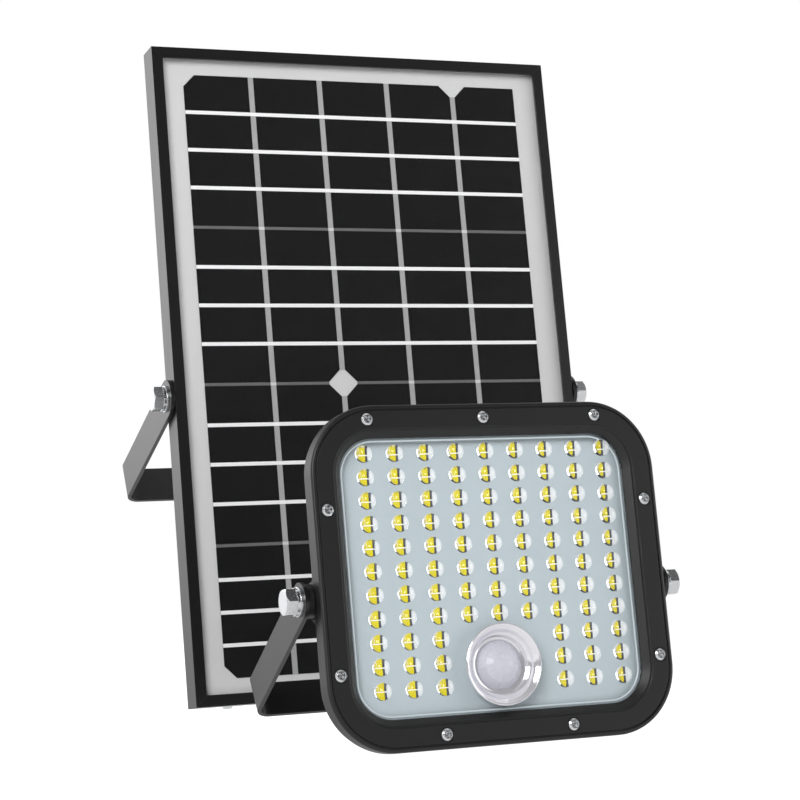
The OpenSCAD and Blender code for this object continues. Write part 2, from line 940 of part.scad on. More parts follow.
function led_x(col) = led_mid_x + (col - (led_cols - 1) / 2) * led_pitch_x;
function led_z(row) = led_mid_z + ((led_rows - 1) / 2 - row) * led_pitch_z;
function led_here(col, row) =
    row < led_rows - led_short_rows || abs(col - (led_cols - 1) / 2) > led_gap_cols / 2;

module at_leds() {
    for (col = [0:led_cols - 1], row = [0:led_rows - 1])
        if (led_here(col, row))
            translate([led_x(col), 0, led_z(row)])
                children();
}

module at_sensor() {
    translate([0, 0, sensor_z])
        children();
}

// A lens dome on the cover's front, flat behind so that it joins the sheet
module lens_dome() {
    intersection() {
        sphere(dome_r);
        translate([-dome_r - 1, -dome_r - 1, -dome_r - 1])
            cube([2 * dome_r + 2, dome_r + 1.4, 2 * dome_r + 2]);
    }
}

module lens_cover() {
    color(clear_glass)
        in_lamp()
            difference() {
                union() {
                    slab(0, cover_t)
                        lamp_outline(cover_in);
                    slab(cover_t - eps, board_y)
                        difference() {
                            lamp_outline(cover_in);
                            lamp_outline(cover_in + 3);
                        }
                    at_leds()
                        lens_dome();
                }
                at_sensor()
                    slab(-6, cover_t + 2)
                        circle(collar_tube_r + slip_fit);
            }
}

module led_board() {
    color(board_white)
        in_lamp()
            slab(board_y, board_y + board_t)
                difference() {
                    lamp_outline(cover_in);
                    translate([0, sensor_z])
                        circle(collar_tube_r - 1.2);
                }
}

module led_packages() {
    color("white")
        in_lamp()
            at_leds()
                slab(board_y - led_t + 0.2, board_y)
                    square([led_w, led_h], center = true);
}

module led_phosphors() {
    color(phosphor_yellow)
        in_lamp()
            at_leds()
                slab(led_top, led_top + 0.2)
                    square([led_w - 2 * led_wall, led_h - 2 * led_wall], center = true);
}

// ---- Motion sensor ----
module sensor_turned() {
    in_lamp()
        at_sensor()
            rotate([90, 0, 0])
                rotate_extrude()
                    children();
}

collar_r = collar_d / 2;
dome_seat_y = board_y - 0.8;

module sensor_collar() {
    color(milky)
        sensor_turned()
            polygon([
                [collar_tube_r, -board_y], [collar_tube_r, 0], [collar_tube_r + 1.8, 0],
                [collar_r - 0.2, 3.6], [collar_r, 4.2], [collar_r - 0.5, 4.6], [collar_r - 1.1, 4.4],
                [collar_tube_r - 0.9, 0], [collar_tube_r - 1.1, -dome_seat_y],
                [sensor_dome_d / 2 + 0.3, -dome_seat_y], [sensor_dome_d / 2 + 0.3, -board_y]
            ]);
}

// Height of a spherical cap's surface over radius r, for a cap of base radius b and height h
function cap_y(r, b, h) = sqrt(pow((b * b + h * h) / (2 * h), 2) - r * r) - (b * b - h * h) / (2 * h);

module sensor_dome() {
    out_r = sensor_dome_d / 2;
    in_r = out_r - sensor_shell;
    in_h = sensor_dome_h - sensor_shell;
    color(milky)
        sensor_turned()
            polygon(concat(
                [for (k = [0:8]) let (r = out_r * k / 8) [r, cap_y(r, out_r, sensor_dome_h) - dome_seat_y]],
                [
                    [out_r, 0.8 - dome_seat_y], [collar_tube_r - 1.2, 0.8 - dome_seat_y],
                    [collar_tube_r - 1.2, slip_fit - dome_seat_y], [in_r, slip_fit - dome_seat_y]
                ],
                [for (k = [7:-1:0]) let (r = in_r * k / 8) [r, cap_y(r, in_r, in_h) - dome_seat_y]]
            ));
}

can_r = 4.6;
sensor_board_y = 8.8;

module sensor_element() {
    color(zinc)
        in_lamp()
            at_sensor()
                union() {
                    slab(sensor_board_y - 4.2, sensor_board_y)
                        difference() {
                            circle(can_r);
                            square([3, 4], center = true);
                        }
                    slab(sensor_board_y - 3.8, sensor_board_y)
                        square([3.2, 4.2], center = true);
                    slab(sensor_board_y - 0.6, sensor_board_y)
                        circle(can_r + 0.5);
                }
}

module sensor_board() {
    color(board_green)
        in_lamp()
            at_sensor()
                slab(sensor_board_y, sensor_board_y + 1.2)
                    square([38, 24], center = true);
}

module sensor_standoffs() {
    color(nylon)
        in_lamp()
            at_sensor()
                for (side = [-1, 1])
                    translate([side * 16.8, 0, 0])
                        slab(board_y + board_t, sensor_board_y)
                            circle(2);
}

// ---- Rear housing ----
housing_profile = [
    [0.8, bezel_back + 0.1], [bezel_wall + 0.2, bezel_back + 0.1], [bezel_wall + 0.2, pocket_y + 0.1],
    [bezel_wall + 1.9, pocket_y + 0.1], [bezel_wall + 1.9, board_y + board_t - 0.2],
    [cover_in - 2.2, board_y + board_t - 0.2], [cover_in - 2.2, pocket_y + 0.1],
    [cover_in - 0.8, pocket_y + 0.1], [cover_in - 0.8, -0.7], [cover_in - 0.2, -0.7],
    [cover_in - 0.2, board_y + board_t], [cover_in + 2.6, board_y + board_t],
    [cover_in + 2.6, board_y + board_t + 2], [0.8, board_y + board_t + 2]
];

module hump(grow, y0, y1) {
    hull() {
        slab(y0, y0 + 0.1)
            lamp_outline(hump_in - grow, $fn = 32);
        slab(y1 - 0.1, y1)
            rounded_rect(
                2 * (hump_back_x + grow), 2 * (hump_back_z + grow), hump_back_r + grow, $fn = 32
            );
    }
}

// Flared web that carries one pivot boss on the housing's side
module ear_web() {
    hull() {
        translate([74, boss_flat_y, lamp_pivot_z - 19])
            cube([1, 22, 38]);
        translate([lamp_w / 2 - 3, 0, 0])
            intersection() {
                translate([0, lamp_pivot_y, lamp_pivot_z])
                    rotate([0, 90, 0])
                        cylinder(r = boss_r + 0.6, h = 2, $fn = 48);
                translate([-1, boss_flat_y, lamp_pivot_z - 20])
                    cube([4, 30, 40]);
            }
    }
}

module ear_boss() {
    translate([0, lamp_pivot_y, lamp_pivot_z])
        rotate([0, 90, 0]) {
            translate([0, 0, lamp_w / 2 + 0.3])
                cylinder(r = boss_r, h = pivot_boss_x - lamp_w / 2 - 0.3);
        }
    intersection() {
        translate([pivot_boss_x - insert_len - 2.5, lamp_pivot_y, lamp_pivot_z])
            rotate([0, 90, 0])
                cylinder(r = boss_r, h = insert_len);
        translate([60, boss_flat_y, lamp_pivot_z - 20])
            cube([40, 30, 40]);
    }
}

module housing_solid() {
    lamp_ring(housing_profile);
    at_screws()
        slab(pocket_y + 0.1, board_y + board_t)
            circle(3);
    difference() {
        hump(0, board_y + board_t + 0.5, housing_back);
        hump(-housing_wall, board_y + board_t, inner_back);
    }
    both_sides() {
        difference() {
            ear_web();
            hump(-1, board_y + board_t - 1, inner_back);
            slab(0, board_y + board_t)
                lamp_outline(cover_in - 0.2);
        }
        ear_boss();
    }
    for (k = [0:rib_n - 1])
        translate([(k - (rib_n - 1) / 2) * (2 * hump_back_x - 16) / (rib_n - 1) - 0.9, 0, 0])
            rib_bar();
    translate([0, gland_y, gland_end_z])
        cylinder(r = 8, h = 12);
}

// One upright rib across the back, stopped short of the switch
module rib_bar() {
    translate([0, housing_back - 0.5, -hump_back_z + 34])
        cube([1.8, rib_h + 0.5, 2 * hump_back_z - 44]);
}

module rear_housing() {
    color(black_plastic)
        in_lamp()
            difference() {
                housing_solid();
                at_screws()
                    slab(pocket_y - 1, board_y + board_t + 0.5)
                        circle(screw_d / 2 + slip_fit);
                both_sides()
                    translate([pivot_boss_x + 1, lamp_pivot_y, lamp_pivot_z])
                        rotate([0, -90, 0])
                            cylinder(r = 5 + slip_fit, h = insert_len + 1);
                translate([0, gland_y, gland_end_z - 1])
                    cylinder(r = 4 + slip_fit, h = 16);
                translate([switch_x, 0, switch_z])
                    slab(inner_back - 1, housing_back + 1)
                        circle(6 + slip_fit);
            }
}

module lamp_pivot_inserts() {
    color(brass)
        at_lamp_pivots()
            translate([0, 0, -insert_len])
                ring(5, thread_d / 2 + slip_fit, insert_len);
}

// ---- Battery pack ----
function battery_z(k) = battery_top_z - k * battery_pitch;

module along_x(x0, x1, r) {
    translate([x0, 0, 0])
        rotate([0, 90, 0])
            cylinder(r = r, h = x1 - x0);
}

module at_batteries() {
    for (k = [0:battery_n - 1])
        translate([battery_x, battery_y, battery_z(k)])
            children();
}

module battery_cells() {
    color(cell_sleeve)
        in_lamp()
            at_batteries()
                union() {
                    along_x(-battery_len / 2, battery_len / 2 - 1.2, battery_d / 2);
                    along_x(battery_len / 2 - 1.3, battery_len / 2, 3);
                }
}

pack_h = battery_n * battery_pitch;
pack_mid_z = battery_top_z - (battery_n - 1) * battery_pitch / 2;

module battery_cradle() {
    color(nylon)
        in_lamp()
            difference() {
                translate([battery_x - battery_len / 2 - 3, inner_back - 5.5, pack_mid_z - pack_h / 2])
                    cube([battery_len + 6, 5.5, pack_h]);
                at_batteries()
                    along_x(-battery_len / 2 - slip_fit, battery_len / 2 + slip_fit, battery_d / 2 + slip_fit);
            }
}

module battery_clamp() {
    front = battery_y - battery_d / 2 - slip_fit;
    color(nylon)
        in_lamp()
            for (side = [-1, 1])
                translate([battery_x + side * 18 - 3, 0, pack_mid_z])
                    difference() {
                        translate([0, front - 1.2, -pack_h / 2 - 2])
                            cube([6, inner_back - front + 1.2, pack_h + 4]);
                        translate([-1, front, -pack_h / 2 - slip_fit])
                            cube([8, inner_back, pack_h + 2 * slip_fit]);
                    }
}

module battery_tabs() {
    color(tin)
        in_lamp()
            for (side = [-1, 1])
                translate([battery_x + side * battery_len / 2 + (side > 0 ? 0 : -0.3), 0, pack_mid_z])
                    translate([0, battery_y - 3, -pack_h / 2 + 6])
                        cube([0.3, 6, pack_h - 12]);
}

lead_x0 = battery_x + battery_len / 2 + 0.3;
lead_x1 = control_x - 15;
lead_y = control_y - 2;

module battery_leads() {
    color([0.7, 0.1, 0.1])
        in_lamp()
            for (k = [0, 1])
                translate([0, lead_y - 3, control_z + 8 - 3 * k])
                    along_x(lead_x0, lead_x1, 0.8);
}

// ---- Control board ----
module control_board() {
    color(board_green)
        in_lamp()
            translate([control_x, 0, control_z])
                slab(control_y, control_y + 1.6)
                    square([30, 48], center = true);
}

module control_standoffs() {
    color(nylon)
        in_lamp()
            for (sx = [-1, 1], sz = [-1, 1])
                translate([control_x + sx * 12, 0, control_z + sz * 21])
                    slab(control_y + 1.6, inner_back)
                        circle(2.2);
}

module control_components() {
    color([0.2, 0.2, 0.22])
        in_lamp()
            translate([control_x, 0, control_z]) {
                translate([4, 0, 14])
                    slab(control_y - 6, control_y)
                        circle(5.5);
                translate([-4, 0, -14])
                    slab(control_y - 10, control_y)
                        circle(4);
                translate([7, 0, -14])
                    slab(control_y - 10, control_y)
                        circle(4);
                translate([5, 0, 0])
                    slab(control_y - 1.6, control_y)
                        square([8, 8], center = true);
                translate([-12, 0, 6.5])
                    slab(control_y - 6.5, control_y)
                        square([6, 9], center = true);
            }
}

// ---- Charging inlet ----
module gland_part(z0, z1, r, sides) {
    translate([0, gland_y, z0])
        cylinder(r = r, h = z1 - z0, $fn = sides);
}

module charging_gland() {
    color(black_plastic)
        in_lamp()
            difference() {
                union() {
                    gland_part(gland_end_z - 6, gland_end_z + 14, 4, 64);
                    gland_part(gland_end_z - 2.5, gland_end_z, 6.6, 6);
                }
                gland_part(gland_end_z - 7, gland_end_z + 15, 2.2, 64);
            }
}

module charging_gland_nut() {
    color(black_plastic)
        in_lamp()
            difference() {
                union() {
                    gland_part(gland_end_z - 8, gland_end_z - 2.8, 6.6, 6);
                    gland_part(gland_end_z - 10, gland_end_z - 8 + eps, 4.4, 64);
                }
                gland_part(gland_end_z - 6.1, gland_end_z, 4 + slip_fit, 64);
                gland_part(gland_end_z - 11, gland_end_z, 2.2, 64);
            }
}

// ---- Sealed push switch ----
button_r = 4.4;
button_proud = 2.5;

module at_switch() {
    in_lamp()
        translate([switch_x, 0, switch_z])
            children();
}

module switch_body() {
    color(black_plastic)
        at_switch()
            difference() {
                union() {
                    slab(housing_back - 14, housing_back + 0.2)
                        circle(6);
                    slab(housing_back, housing_back + 1.6)
                        circle(8);
                }
                slab(housing_back - 10, housing_back + 3)
                    circle(button_r + 0.08);
                slab(housing_back - 10, housing_back - 3)
                    circle(button_r + 0.9);
            }
}

module switch_nut() {
    color(zinc)
        at_switch()
            slab(inner_back - 2.5, inner_back)
                difference() {
                    circle(8, $fn = 6);
                    circle(6 + slip_fit);
                }
}

module switch_button() {
    color(grey_rubber)
        at_switch()
            union() {
                slab(housing_back - 5, housing_back + 1.6 + button_proud - 0.6)
                    circle(button_r);
                translate([0, housing_back + 1.6 + button_proud, 0])
                    rotate([90, 0, 0])
                        cylinder(r1 = button_r - 0.6, r2 = button_r, h = 0.6 + eps);
                slab(housing_back - 5, housing_back - 3.1)
                    circle(button_r + 0.7);
            }
}

// ---- Lamp pivot ----
module lamp_pivot_bolts() {
    color(zinc)
        at_lamp_pivots()
            pivot_bolt();
}

module lamp_spring_washers() {
    color(zinc)
        at_lamp_pivots()
            translate([0, 0, spring_at])
                rotate([0, 0, 60])
                    split_washer();
}

module lamp_flat_washers() {
    color(zinc)
        at_lamp_pivots()
            translate([0, 0, flat_at])
                ring(shoulder_d / 2 + 3, shoulder_d / 2 + slip_fit, flat_t);
}

module lamp_friction_washers() {
    color(nylon)
        at_lamp_pivots()
            ring(shoulder_d / 2 + 2.4, shoulder_d / 2 + slip_fit, friction_t);
}

module lamp_bracket() {
    color(black_paint)
        translate(lamp_pivot)
            rotate([-lamp_arm_slope, 0, 0])
                u_bracket(lamp_half_in, lamp_arm_len, lamp_strap_w);
}

panel_side_rails();
panel_end_rails();
frame_corner_keys();
frame_corner_screws();
panel_glass();
laminate_encapsulant();
cell_ribbons();
solar_cells();
panel_backsheet();
laminate_edge_seal();
junction_box();
junction_box_lid();
junction_lid_seal();
junction_lid_screws();
diode_board();
bypass_diodes();
junction_gland();
junction_gland_nut();
panel_pivot_blocks();
panel_pivot_bolts();
panel_spring_washers();
panel_flat_washers();
panel_friction_washers();
panel_bracket();
lamp_bezel();
bezel_screws();
cover_gasket();
lens_cover();
led_board();
led_packages();
led_phosphors();
sensor_collar();
sensor_dome();
sensor_element();
sensor_board();
sensor_standoffs();
rear_housing();
lamp_pivot_inserts();
battery_cells();
battery_cradle();
battery_clamp();
battery_tabs();
battery_leads();
control_board();
control_components();
control_standoffs();
charging_gland();
charging_gland_nut();
switch_body();
switch_nut();
switch_button();
lamp_pivot_bolts();
lamp_spring_washers();
lamp_flat_washers();
lamp_friction_washers();
lamp_bracket();
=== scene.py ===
# %% [markdown]
# # A solar flood light, dressed in its real finishes
#
# The imported model already has every piece at its true size and place. This lesson gives those pieces their
# surfaces, and builds the few that need finer shape than an engineering model holds: a bead round the clear lens
# cover, the faceted sensor lens, and the small marks on the light board.

import json
import math

import bmesh
import bpy
from mathutils import Matrix, Vector


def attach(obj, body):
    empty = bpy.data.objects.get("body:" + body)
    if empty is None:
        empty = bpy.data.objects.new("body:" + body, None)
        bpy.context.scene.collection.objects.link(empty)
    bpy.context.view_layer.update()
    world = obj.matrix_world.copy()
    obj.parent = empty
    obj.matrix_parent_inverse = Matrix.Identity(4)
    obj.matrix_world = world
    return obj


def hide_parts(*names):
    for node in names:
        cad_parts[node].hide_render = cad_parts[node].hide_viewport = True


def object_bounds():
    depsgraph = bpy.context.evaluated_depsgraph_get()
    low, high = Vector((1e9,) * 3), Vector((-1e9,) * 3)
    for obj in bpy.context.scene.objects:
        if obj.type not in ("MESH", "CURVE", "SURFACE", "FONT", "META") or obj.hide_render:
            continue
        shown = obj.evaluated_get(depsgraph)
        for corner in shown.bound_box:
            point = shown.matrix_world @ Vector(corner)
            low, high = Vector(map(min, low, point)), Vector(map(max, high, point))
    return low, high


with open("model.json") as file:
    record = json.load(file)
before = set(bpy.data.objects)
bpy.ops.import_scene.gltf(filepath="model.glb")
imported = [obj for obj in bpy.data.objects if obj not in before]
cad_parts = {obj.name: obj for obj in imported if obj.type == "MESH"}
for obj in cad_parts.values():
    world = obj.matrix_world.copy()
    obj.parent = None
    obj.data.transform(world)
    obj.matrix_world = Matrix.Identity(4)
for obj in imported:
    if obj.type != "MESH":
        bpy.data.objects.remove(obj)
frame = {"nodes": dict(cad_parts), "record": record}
nodes = frame["nodes"]
cad_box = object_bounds()
print("CAD box", cad_box)

# %% [markdown]
# Everything is in metres, but the sizes of a lamp are easier to read in millimetres.
# The panel and the lamp both lean back by the same angle, which the record holds as
# the direction of the lamp's cable entry: straight down the lamp's own height.

# %% Millimetres and the lean
MM = 0.001
cable_down = next(m["axis"] for m in frame["record"]["mounts"] if m["name"] == "lamp_cable_entry")
lean = math.atan2(-cable_down[1], -cable_down[2])
LEAN = Matrix.Rotation(-lean, 4, "X")
print("lean", round(math.degrees(lean), 2), "degrees")


def leaned_box(*names):
    """Lowest and highest corner of some nodes, measured along the leaning axes."""
    back = LEAN.inverted()
    points = [back @ v.co for name in names for v in nodes[name].data.vertices]
    low = Vector([min(p[i] for p in points) for i in range(3)])
    high = Vector([max(p[i] for p in points) for i in range(3)])
    return low, high


# %% [markdown]
# Two local frames follow. The panel's starts at the middle of its front face, and the
# lamp's at the middle of its light board, on the board's front.

# %% Local frames
rail_low, rail_high = leaned_box("panel_side_rails")
panel_size = rail_high - rail_low
panel_middle = Vector(((rail_low.x + rail_high.x) / 2, rail_low.y, (rail_low.z + rail_high.z) / 2))
PANEL = LEAN @ Matrix.Translation(panel_middle)
bezel_low, bezel_high = leaned_box("lamp_bezel")
board_low, board_high = leaned_box("led_board")
lamp_middle = Vector(((bezel_low.x + bezel_high.x) / 2, board_low.y, (bezel_low.z + bezel_high.z) / 2))
LAMP = LEAN @ Matrix.Translation(lamp_middle)
print("panel", [round(v / MM, 1) for v in panel_size])

# %% [markdown]
# ## The camera
#
# A long lens, far back, keeps the two units nearly parallel. It stands to the left and
# looks slightly down, so the left walls of both units and their brackets show.

# %% Camera
view_direction = Vector((0.3877, 0.9210, -0.0387)).normalized()
view_right = view_direction.cross(Vector((0, 0, 1))).normalized()
view_up = view_right.cross(view_direction)
camera_data = bpy.data.cameras.new("camera")
camera_data.lens = 99
camera_data.sensor_width = 36
camera = bpy.data.objects.new("camera", camera_data)
camera.matrix_world = Matrix((
    (view_right.x, view_up.x, -view_direction.x, 0),
    (view_right.y, view_up.y, -view_direction.y, 0),
    (view_right.z, view_up.z, -view_direction.z, 0),
    (0, 0, 0, 1),
))
camera.location = PANEL.translation + Vector((-457.8, -1116.9, 28.5)) * MM
bpy.context.collection.objects.link(camera)
bpy.context.scene.camera = camera
print("camera", [round(v, 3) for v in camera.location])

# %% [markdown]
# ## Helpers for materials
#
# Colours are written as the hex values a designer would use. A renderer works with
# linear light, so one function turns each of them. One more adds a node, sets it and
# wires it.

# %% Colour and node helpers


def linear(hex_code):
    """An sRGB hex colour as linear red, green, blue and full alpha."""
    parts = [int(hex_code[i:i + 2], 16) / 255 for i in (1, 3, 5)]
    return [p / 12.92 if p <= 0.04045 else ((p + 0.055) / 1.055) ** 2.4 for p in parts] + [1]


def add_node(tree, kind, settings=None, inputs=None):
    """Adds a node. A value that is a socket is linked, and any other is set."""
    node = tree.nodes.new(kind)
    for key, value in (settings or {}).items():
        setattr(node, key, value)
    for key, value in (inputs or {}).items():
        if isinstance(value, bpy.types.NodeSocket):
            tree.links.new(value, node.inputs[key])
        else:
            node.inputs[key].default_value = value
    return node


def new_material(name):
    """An empty material. Returns it with its tree and its output node."""
    material = bpy.data.materials.new(name)
    material.use_nodes = True
    tree = material.node_tree
    tree.nodes.clear()
    output = add_node(tree, "ShaderNodeOutputMaterial")
    return material, tree, output


def principled(tree, output, inputs):
    """The usual surface shader, wired to the output."""
    shader = add_node(tree, "ShaderNodeBsdfPrincipled", None, inputs)
    tree.links.new(shader.outputs[0], output.inputs["Surface"])
    return shader


def place(tree, stretch=(1, 1, 1)):
    """Positions on the object in metres, turned upright and stretched along its axes."""
    coordinates = add_node(tree, "ShaderNodeTexCoord")
    return add_node(tree, "ShaderNodeMapping", None, {
        "Vector": coordinates.outputs["Object"], "Rotation": (lean, 0, 0), "Scale": stretch,
    }).outputs[0]


def noise(tree, where, size_mm, detail=3):
    """Noise whose blotches are about this big."""
    return add_node(tree, "ShaderNodeTexNoise", None, {
        "Vector": where, "Scale": 1 / (size_mm * MM), "Detail": detail, "Roughness": 0.55,
    }).outputs[0]


def between(tree, factor, low, high):
    """A value that follows a factor from low to high."""
    return add_node(tree, "ShaderNodeMapRange", None, {
        "Value": factor, "To Min": low, "To Max": high,
    }).outputs[0]


def two_tone(tree, factor, first, second):
    """A colour that follows a factor from the first hex colour to the second."""
    return add_node(tree, "ShaderNodeMix", {"data_type": "RGBA"}, {
        "Factor": factor, "A": linear(first), "B": linear(second),
    }).outputs["Result"]


def bump(tree, height, depth_mm, under=None):
    """Turns a height from 0 to 1 into a bump of this depth."""
    inputs = {"Height": height, "Distance": depth_mm * MM, "Strength": 1.0}
    if under is not None:
        inputs["Normal"] = under
    return add_node(tree, "ShaderNodeBump", None, inputs).outputs[0]


def soft_edge(tree, radius_mm):
    """A normal that rounds every sharp edge a little, so that edges catch the light."""
    return add_node(tree, "ShaderNodeBevel", {"samples": 6}, {"Radius": radius_mm * MM}).outputs[0]


# %% [markdown]
# Colour sockets on a mix node share their names with the number sockets, so the colour sockets are taken by their
# place in the node's list, once, here.

# %% Two-colour mixing


def two_tone(tree, factor, first, second):
    """A colour that follows a factor from the first hex colour to the second."""
    mix = add_node(tree, "ShaderNodeMix", {"data_type": "RGBA"}, {0: factor})
    mix.inputs[6].default_value = linear(first)
    mix.inputs[7].default_value = linear(second)
    return mix.outputs[2]


# %% [markdown]
# ## The studio
#
# A product on white: the background is pure white to the camera, and shiny surfaces see
# white behind the object too. In front, the studio is dark above eye level, so that black
# fronts stay black. Below it is bright, and the bolts' flat sides mirror that.

# %% World


def maths(tree, operation, first, second):
    """One sum on two values, each a socket or a number."""
    return add_node(tree, "ShaderNodeMath", {"operation": operation}, {0: first, 1: second}).outputs[0]


def ease(tree, value, start, end, low=0.0, high=1.0):
    """Eases from low to high as a value goes from start to end."""
    return add_node(tree, "ShaderNodeMapRange", {"interpolation_type": "SMOOTHSTEP"}, {
        "Value": value, "From Min": start, "From Max": end, "To Min": low, "To Max": high}).outputs[0]


def choose(tree, switch, off, on):
    """A number that is one value where the switch is 0, and another where it is 1."""
    return add_node(tree, "ShaderNodeMix", {"data_type": "FLOAT"}, {0: switch, 2: off, 3: on}).outputs[0]


world = bpy.data.worlds.new("studio")
bpy.context.scene.world = world
world.use_nodes = True
sky = world.node_tree
sky.nodes.clear()
sky_output = add_node(sky, "ShaderNodeOutputWorld")
rays = add_node(sky, "ShaderNodeLightPath").outputs
direction = add_node(sky, "ShaderNodeTexCoord").outputs["Generated"]
heading = add_node(sky, "ShaderNodeSeparateXYZ", None, {0: direction}).outputs
AMBIENT = 0.62
behind = ease(sky, heading[1], -0.25, 0.35, 0.03, 1.0)
low_front = ease(sky, heading[2], 0.04, 0.16, 0.9, 0.0)
mirrored = maths(sky, "MAXIMUM", behind, low_front)
sharp = maths(sky, "MAXIMUM", rays["Is Glossy Ray"], rays["Is Transmission Ray"])
lit = choose(sky, sharp, AMBIENT, mirrored)
backdrop = add_node(sky, "ShaderNodeBackground", None, {
    "Color": (1, 1, 1, 1), "Strength": choose(sky, rays["Is Camera Ray"], lit, 1.0)})
sky.links.new(backdrop.outputs[0], sky_output.inputs[0])
bpy.context.scene.view_settings.view_transform = "Standard"
print("ambient", AMBIENT)

# %% [markdown]
# The floor is a plain pale sheet under the object. To the camera it glows as white as
# the background, and still takes a soft shadow.

# %% Floor
low_corner, high_corner = Vector(cad_box[0]), Vector(cad_box[1])
floor_mesh = bpy.data.meshes.new("floor")
side = 3.0
floor_mesh.from_pydata(
    [(-side, -side, 0), (side, -side, 0), (side, side, 0), (-side, side, 0)], [], [(0, 1, 2, 3)])
floor = bpy.data.objects.new("floor", floor_mesh)
floor.location = (0, 0, low_corner.z - 60 * MM)
bpy.context.collection.objects.link(floor)
floor_paint, tree, output = new_material("pale_studio_floor")
rays = add_node(tree, "ShaderNodeLightPath").outputs
spot = add_node(tree, "ShaderNodeTexCoord").outputs["Object"]
white = add_node(tree, "ShaderNodeEmission", None, {"Color": (1, 1, 1, 1), "Strength": 1.0}).outputs[0]
glow = add_node(tree, "ShaderNodeEmission", None, {"Color": (1, 1, 1, 1), "Strength": 0.5}).outputs[0]
matte = add_node(tree, "ShaderNodeBsdfDiffuse", None, {"Color": linear("#F0F0F0")}).outputs[0]
near = add_node(tree, "ShaderNodeAddShader", None, {0: matte, 1: glow}).outputs[0]
distance = add_node(tree, "ShaderNodeVectorMath", {"operation": "LENGTH"}, {0: spot}).outputs["Value"]
fading = add_node(tree, "ShaderNodeMixShader", None, {
    0: ease(tree, distance, 0.3, 0.75), 1: near, 2: white}).outputs[0]
back = add_node(tree, "ShaderNodeSeparateXYZ", None, {0: spot}).outputs[1]
mirrored = add_node(tree, "ShaderNodeEmission", None, {
    "Color": (1, 1, 1, 1), "Strength": ease(tree, back, -0.4, 0.6, 0.75, 1.0)}).outputs[0]
sharp = maths(tree, "MAXIMUM", rays["Is Glossy Ray"], rays["Is Transmission Ray"])
unseen = add_node(tree, "ShaderNodeMixShader", None, {0: sharp, 1: matte, 2: mirrored}).outputs[0]
surface = add_node(tree, "ShaderNodeMixShader", None, {
    0: rays["Is Camera Ray"], 1: unseen, 2: fading}).outputs[0]
tree.links.new(surface, output.inputs["Surface"])
floor.data.materials.append(floor_paint)

# %% [markdown]
# Three soft lights: a key from the front left, a weak fill from the right, and the tall
# rim light at the back left that the left walls mirror.

# %% Lights


def soft_light(name, place_at, look_at, width, height, watts):
    """A rectangular light that the camera doesn't see, aimed at a point."""
    data = bpy.data.lights.new(name, "AREA")
    data.shape = "RECTANGLE"
    data.size, data.size_y = width, height
    data.energy = watts
    light = bpy.data.objects.new(name, data)
    light.location = place_at
    aim = Vector(look_at) - Vector(place_at)
    light.rotation_euler = aim.to_track_quat("-Z", "Y").to_euler()
    light.visible_camera = False
    bpy.context.collection.objects.link(light)
    return light


target = (low_corner + high_corner) / 2
key_light = soft_light("key", (-1.5, -1.7, 1.3), target, 1.2, 1.2, 38)
fill_light = soft_light("fill", (1.8, -1.2, 0.5), target, 1.4, 1.4, 12)
rim_light = soft_light("rim", (-1.1, 1.7, 0.2), target, 1.1, 1.8, 9)

# %% [markdown]
# ## Finishes of the panel
#
# The frame is black anodised aluminium. It was extruded, so faint straight lines run
# along each rail, and the anodised skin is a satin black that mirrors light at a
# glancing angle.

# %% Black anodised aluminium


def anodised(name, stretch):
    material, tree, output = new_material(name)
    where = place(tree, stretch)
    lines = noise(tree, where, 0.7, 2)
    cloud = noise(tree, place(tree), 40)
    principled(tree, output, {
        "Base Color": two_tone(tree, cloud, "#0C0C0C", "#131313"),
        "Metallic": 0.0,
        "Roughness": between(tree, lines, 0.30, 0.42),
        "Specular IOR Level": 0.62,
        "Normal": bump(tree, lines, 0.012, soft_edge(tree, 0.25)),
    })
    return material


side_rail_finish = anodised("black_anodised_side", (1, 1, 0.01))
end_rail_finish = anodised("black_anodised_end", (0.01, 1, 1))

# %% [markdown]
# The brackets are flat steel strap, powder coated. Powder melts into a fine orange
# peel, about a millimetre across, that softens every reflection.

# %% Black powder coat


def powder_coat(name):
    material, tree, output = new_material(name)
    peel = noise(tree, place(tree), 0.9, 2)
    principled(tree, output, {
        "Base Color": two_tone(tree, noise(tree, place(tree), 25), "#0D0D0D", "#121212"),
        "Roughness": between(tree, peel, 0.30, 0.40),
        "Specular IOR Level": 0.6,
        "Normal": bump(tree, peel, 0.02, soft_edge(tree, 0.35)),
    })
    return material


bracket_finish = powder_coat("black_powder_coat")

# %% [markdown]
# Bolts, washers and screws are bright zinc plated steel: a nearly white metal, with a
# soft sheen from the barrel plating and faint marks where the faces were turned.

# %% Bright zinc plate


def zinc_plate(name, roughness=0.24):
    material, tree, output = new_material(name)
    grain = noise(tree, place(tree), 0.6, 4)
    principled(tree, output, {
        "Base Color": two_tone(tree, grain, "#D6D8DA", "#EEF0F2"),
        "Metallic": 1.0,
        "Roughness": between(tree, grain, roughness - 0.05, roughness + 0.08),
        "Normal": bump(tree, grain, 0.006, soft_edge(tree, 0.25)),
    })
    return material


zinc_finish = zinc_plate("bright_zinc_plate")

# %% [markdown]
# Glass that light must pass through twice is costly to trace, and the laminate is flat.
# So each flat clear layer is a see-through surface with the gloss of its front, and no
# bending of the light. Shadow rays pass through it.

# %% Flat clear layers


